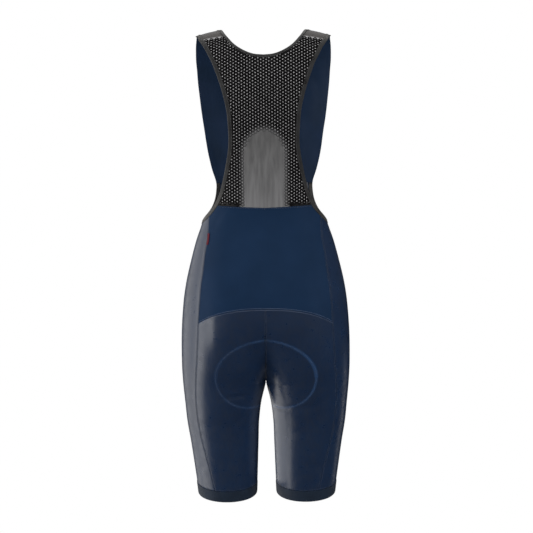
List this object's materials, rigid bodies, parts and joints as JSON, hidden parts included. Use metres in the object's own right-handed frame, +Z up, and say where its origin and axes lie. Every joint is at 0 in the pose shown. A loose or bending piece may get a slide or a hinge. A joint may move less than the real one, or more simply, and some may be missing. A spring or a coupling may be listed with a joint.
{
  "type": "cycling bib shorts",
  "caption": "Close-fitting cycling shorts with a mesh racerback bib, elastic armhole and neck trim, gripper leg bands and a seat pad, filled out as when worn.",
  "frame": {"origin": "midway between the two shoulder straps, level with the top of the straps, where the wearer's shoulders hold the garment up", "axes": "+X towards the wearer's left, +Y out of the back, +Z up; the front faces -Y"},
  "size_m": [0.3264, 0.2294, 0.9051],
  "materials": {
    "navy_knit": "smooth navy stretch knit with a broad sheen",
    "back_mesh": "black honeycomb knit over a pale grey ground, matte",
    "binding": "dark grey folded elastic, matte",
    "gripper": "slate knitted band, dull sheen",
    "pad_foam": "soft moulded foam under brushed knit",
    "tab_tape": "plain woven tape"
  },
  "bodies": {
    "root": {"back_mesh": "back_mesh", "neck_binding": "binding", "armhole_binding_left": "binding", "armhole_binding_right": "binding", "bib_front": "navy_knit", "back_yoke": "navy_knit", "seat_left": "navy_knit", "seat_right": "navy_knit", "side_left": "navy_knit", "side_right": "navy_knit", "front_left": "navy_knit", "front_right": "navy_knit", "leg_gripper_left": "gripper", "leg_gripper_right": "gripper", "seat_pad": "pad_foam", "side_tab": "tab_tape"}
  },
  "joints": []
}
